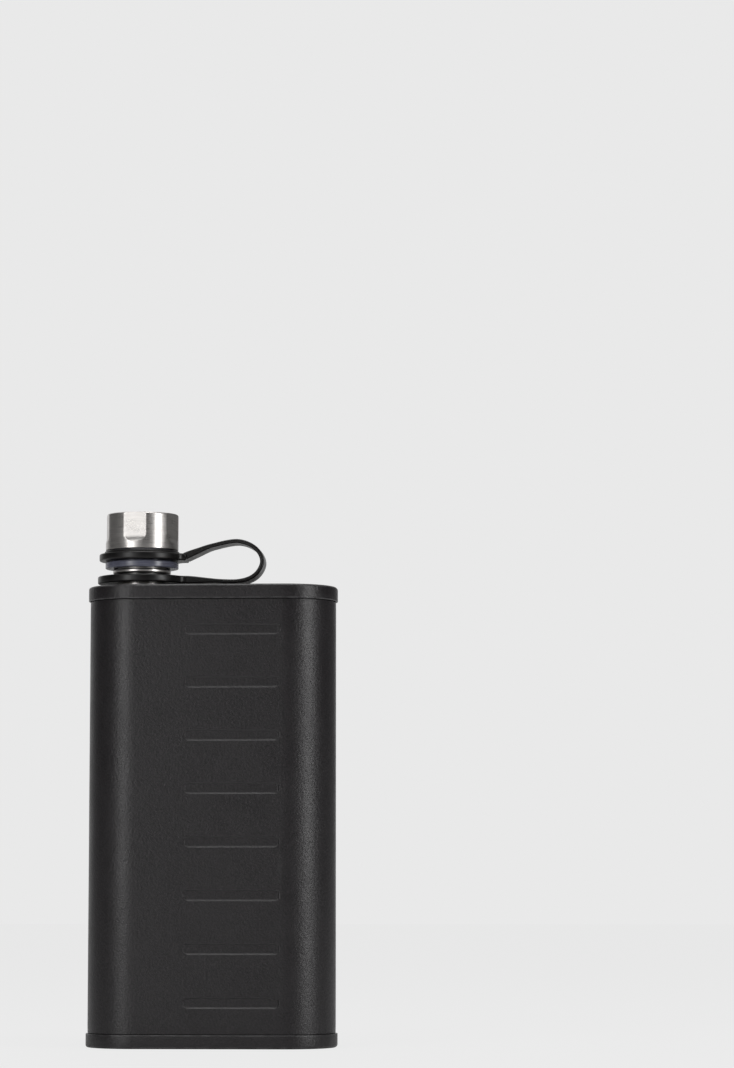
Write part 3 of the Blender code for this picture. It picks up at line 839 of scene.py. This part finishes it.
def make_strap(sizes, colours):
    """The whole silicone moulding: neck ring, band and cap ring in one skin."""
    cap_middle = low("strap_cap_ring").z + CAP_RING_HALF
    neck_middle = low("strap_neck_ring").z + NECK_RING_HALF
    cap_radius, neck_radius = reach("strap_cap_ring"), reach("strap_neck_ring")
    cap_bore = cap_radius - CAP_RING_WIDTH
    neck_bore = neck_radius - NECK_RING_WIDTH
    lip = high("strap_cap_ring").z - cap_middle - CAP_RING_HALF
    hub = high("strap_neck_ring").z - neck_middle - NECK_RING_HALF
    width, ease = sizes.strap_width, 0.42 * MM
    builder = StrapBuilder()
    cap_raised = [(0.0, lip), (1.4 * MM, lip), (1.6 * MM, lip - 0.2 * MM), (1.66 * MM, 0.0)]
    hub_raised = [(0.0, hub), (1.1 * MM, hub), (1.25 * MM, hub - 0.12 * MM),
                  (1.3 * MM, 0.05 * MM), (1.5 * MM, 0.0)]
    cap = make_ring(builder, cap_radius, cap_bore, cap_middle, CAP_RING_HALF, cap_raised, width, ease)
    neck = make_ring(builder, neck_radius, neck_bore, neck_middle, NECK_RING_HALF, hub_raised, width, ease)
    cap_edge, neck_edge = NECK_X + cap_radius, NECK_X + neck_radius
    upper = ((0.8, 0.3), (4.0, 1.6), (8.4, 3.2), (15.4, 4.4), (20.4, 2.4), (22.3, -1.4))
    lower = ((19.8, 1.2), (15.0, -0.5), (6.6, -0.25), (1.9, -0.05))
    route = [Vector((NECK_X + cap[4], 0.0, cap_middle))]
    route += [Vector((cap_edge + x * MM, 0.0, cap_middle + z * MM)) for x, z in upper]
    route += [Vector((neck_edge + x * MM, 0.0, neck_middle + z * MM)) for x, z in lower]
    route.append(Vector((NECK_X + neck[4], 0.0, neck_middle)))
    places = smooth_route(route, 14)
    lengths = [0.0]
    for start, end in zip(places, places[1:]):
        lengths.append(lengths[-1] + (end - start).length)
    previous = cap[0] + cap[1] + list(reversed(cap[2])) + list(reversed(cap[3]))
    for index in range(1, len(places) - 1):
        direction = (places[index + 1] - places[index - 1]).normalized()
        rise = Vector((-direction.z, 0.0, direction.x))
        run = min(lengths[index], lengths[-1] - lengths[index])
        thick = (CAP_RING_HALF if lengths[index] < lengths[-1] / 2.0 else NECK_RING_HALF) * 2.0
        swell = 1.0 - smooth_step(run, 0.0, BAND_TAPER)
        half = (sizes.strap_thickness + (thick - sizes.strap_thickness) * swell) / 2.0
        section = [(v, half) for v in band_lines(width, ease)]
        section += [(width / 2.0 + out, height) for out, height in edge_points(half, ease)]
        section += [(v, -half) for v in reversed(band_lines(width, ease))]
        section += [(-width / 2.0 - out, height) for out, height in reversed(edge_points(half, ease))]
        ring = []
        for v, height in section:
            p = places[index] + rise * height
            ring.append(builder.point(p.x, v, p.z))
        builder.join(previous, ring)
        previous = ring
    last = neck[2] + list(reversed(neck[1])) + list(reversed(neck[0])) + neck[3]
    builder.join(previous, last)
    material = silicone_finish("strap_silicone", colours)
    strap = make_piece("cap_strap", builder.points, builder.faces, material, None,
                       ["strap_neck_ring", "strap_band", "strap_cap_ring"], 42.0)
    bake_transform(strap)
    return strap


def band_lines(width, ease):
    """Lengthwise lines across one face of the band."""
    side = width / 2.0 - ease
    return [side * (2.0 * i / BAND_COLUMNS - 1.0) for i in range(BAND_COLUMNS + 1)]


# ---------------------------------------------------------------- studio


CAMERA_PLACE = (94.0 * MM, -979.8 * MM, 45.0 * MM)
CAMERA_TILT = (95.713, 0.0, 2.963)
CAMERA_LENS = 118.0
FLOOR_HALF = 3.0
FLOOR_DROP = 0.02 * MM
LAMP_DISTANCE = 0.75


def make_camera():
    camera = bpy.data.objects.new("studio_camera", bpy.data.cameras.new("studio_camera"))
    camera.data.sensor_width = 36.0
    camera.data.lens = CAMERA_LENS
    camera.location = CAMERA_PLACE
    camera.rotation_euler = [math.radians(angle) for angle in CAMERA_TILT]
    bpy.context.scene.collection.objects.link(camera)
    bpy.context.scene.camera = camera


def add_softbox(name, heading, rise, distance, size, radiance):
    """A rectangular lamp that faces the flask; heading is measured from the front, towards +X."""
    lamp = bpy.data.objects.new(name, bpy.data.lights.new(name, "AREA"))
    lamp.data.shape = "RECTANGLE"
    lamp.data.size, lamp.data.size_y = size
    lamp.data.energy = radiance * math.pi * size[0] * size[1]
    middle = (FRAME_LOW + FRAME_HIGH) / 2.0
    turn, lift = math.radians(heading), math.radians(rise)
    away = Vector((math.sin(turn) * math.cos(lift), -math.cos(turn) * math.cos(lift), math.sin(lift)))
    lamp.location = middle + away * distance
    lamp.rotation_euler = away.to_track_quat("Z", "Y").to_euler()
    bpy.context.scene.collection.objects.link(lamp)


def make_world(colours):
    """Pale surroundings behind the flask, a dim room in front of it."""
    world = bpy.data.worlds.new("studio_world")
    world.use_nodes = True
    bpy.context.scene.world = world
    sheet = NodeSheet(world.node_tree)
    direction = sheet.add("ShaderNodeTexCoord", output="Generated")
    depth = sheet.add("ShaderNodeSeparateXYZ", None, {0: direction}, 1)
    height = sheet.add("ShaderNodeSeparateXYZ", None, {0: direction}, 2)
    side = sheet.add("ShaderNodeSeparateXYZ", None, {0: direction}, 0)
    behind = sheet.ramp(depth, 0.4, 0.85) * sheet.ramp(side, 0.12, 0.4, 1.0, 0.15)
    above = sheet.ramp(height, 0.5, 0.95)
    below = sheet.ramp(height * -1.0, 0.2, 0.8)
    level = behind * 0.7 + above * 0.5 + below + 0.07
    seen = sheet.add("ShaderNodeLightPath", output="Is Camera Ray")
    shade = sheet.add("ShaderNodeCombineXYZ", None, {0: level, 1: level, 2: level})
    colour = sheet.mix(seen, shade, plain(colours.studio))
    background = world.node_tree.nodes["Background"]
    sheet.feed(background.inputs["Color"], colour)
    sheet.feed(background.inputs["Strength"], 1.0)


def make_floor(colours):
    """Wide pale floor that keeps a soft shadow of the flask."""
    material = bpy.data.materials.new("studio_floor")
    material.use_nodes = True
    sheet = NodeSheet(material.node_tree)
    shader = material.node_tree.nodes["Principled BSDF"]
    sheet.feed(shader.inputs["Base Color"], plain(colours.studio))
    sheet.feed(shader.inputs["Roughness"], 0.9)
    sheet.feed(shader.inputs["Specular IOR Level"], 0.1)
    glow = sheet.add("ShaderNodeEmission", None, {"Color": plain(colours.studio), "Strength": 1.03})
    path = sheet.add("ShaderNodeLightPath", output="Is Camera Ray")
    surface = Signal(sheet, shader.outputs[0])
    mixed = sheet.add("ShaderNodeMixShader", None, {0: path * 0.93, 1: surface, 2: glow})
    under = sheet.add("ShaderNodeNewGeometry", output="Backfacing")
    open_below = sheet.add("ShaderNodeMixShader", None,
                           {0: under, 1: mixed, 2: sheet.add("ShaderNodeBsdfTransparent")})
    output = material.node_tree.nodes["Material Output"]
    sheet.feed(output.inputs["Surface"], open_below)
    half = FLOOR_HALF
    level = FRAME_LOW.z - FLOOR_DROP
    mesh = bpy.data.meshes.new("studio_floor")
    mesh.from_pydata([(-half, -half, level), (half, -half, level), (half, half, level), (-half, half, level)],
                     [], [(0, 1, 2, 3)])
    mesh.materials.append(material)
    floor = bpy.data.objects.new("studio_floor", mesh)
    bpy.context.scene.collection.objects.link(floor)


def make_stage(colours):
    scene = bpy.context.scene
    scene.view_settings.view_transform = "Standard"
    make_camera()
    make_world(colours)
    make_floor(colours)
    add_softbox("softbox_left", -32.0, 3.0, LAMP_DISTANCE, (0.18, 0.8), 5.2)
    add_softbox("softbox_right", 58.0, 3.0, LAMP_DISTANCE, (0.16, 0.8), 8.0)
    add_softbox("softbox_front", -17.0, 12.0, LAMP_DISTANCE, (0.1, 0.32), 1.2)
    add_softbox("softbox_above", 10.0, 78.0, LAMP_DISTANCE, (0.5, 0.4), 3.6)


# ---------------------------------------------------------------- add-on


class FlaskOperator:
    """What the flask's operators share."""

    bl_options = {"REGISTER", "UNDO"}

    def execute(self, context):
        self.build(context.scene.flask_sizes, context.scene.flask_colours)
        return {"FINISHED"}


class FLASK_OT_body(FlaskOperator, Operator):
    """Make the body tube with its pressed grip grooves"""

    bl_idname = "flask.body"
    bl_label = "Body"

    def build(self, sizes, colours):
        make_body(sizes, colours)


class FLASK_OT_plates(FlaskOperator, Operator):
    """Make the top and base plates"""

    bl_idname = "flask.plates"
    bl_label = "End plates"

    def build(self, sizes, colours):
        make_plates(sizes, colours)


class FLASK_OT_neck(FlaskOperator, Operator):
    """Make the turned neck"""

    bl_idname = "flask.neck"
    bl_label = "Neck"

    def build(self, sizes, colours):
        make_neck(sizes, colours)


class FLASK_OT_cap(FlaskOperator, Operator):
    """Make the cap's cover, liner and seal"""

    bl_idname = "flask.cap"
    bl_label = "Cap"

    def build(self, sizes, colours):
        make_cap(sizes, colours)


class FLASK_OT_strap(FlaskOperator, Operator):
    """Make the silicone strap"""

    bl_idname = "flask.strap"
    bl_label = "Strap"

    def build(self, sizes, colours):
        make_strap(sizes, colours)


class FLASK_OT_stage(FlaskOperator, Operator):
    """Make the camera, lamps, surroundings and floor"""

    bl_idname = "flask.stage"
    bl_label = "Stage"

    def build(self, sizes, colours):
        make_stage(colours)


class FLASK_PT_panel(Panel):
    """Sidebar panel of the flask's settings"""

    bl_label = "Hip Flask"
    bl_idname = "FLASK_PT_panel"
    bl_space_type = "VIEW_3D"
    bl_region_type = "UI"
    bl_category = "Flask"

    def draw(self, context):
        for group in (context.scene.flask_sizes, context.scene.flask_colours):
            box = self.layout.box()
            for name in group.bl_rna.properties.keys():
                if name not in ("rna_type", "name"):
                    box.prop(group, name)
        for operator in OPERATORS:
            self.layout.operator(operator.bl_idname)


OPERATORS = (FLASK_OT_stage, FLASK_OT_body, FLASK_OT_plates, FLASK_OT_neck, FLASK_OT_cap, FLASK_OT_strap)
CLASSES = (FlaskSizes, FlaskColours, *OPERATORS, FLASK_PT_panel)


def register():
    for item in CLASSES:
        bpy.utils.register_class(item)
    bpy.types.Scene.flask_sizes = PointerProperty(type=FlaskSizes)
    bpy.types.Scene.flask_colours = PointerProperty(type=FlaskColours)


def unregister():
    del bpy.types.Scene.flask_colours
    del bpy.types.Scene.flask_sizes
    for item in reversed(CLASSES):
        bpy.utils.unregister_class(item)


def main():
    register()
    bpy.ops.flask.stage()
    bpy.ops.flask.body()
    bpy.ops.flask.plates()
    bpy.ops.flask.neck()
    bpy.ops.flask.cap()
    bpy.ops.flask.strap()


if __name__ == "__main__":
    main()
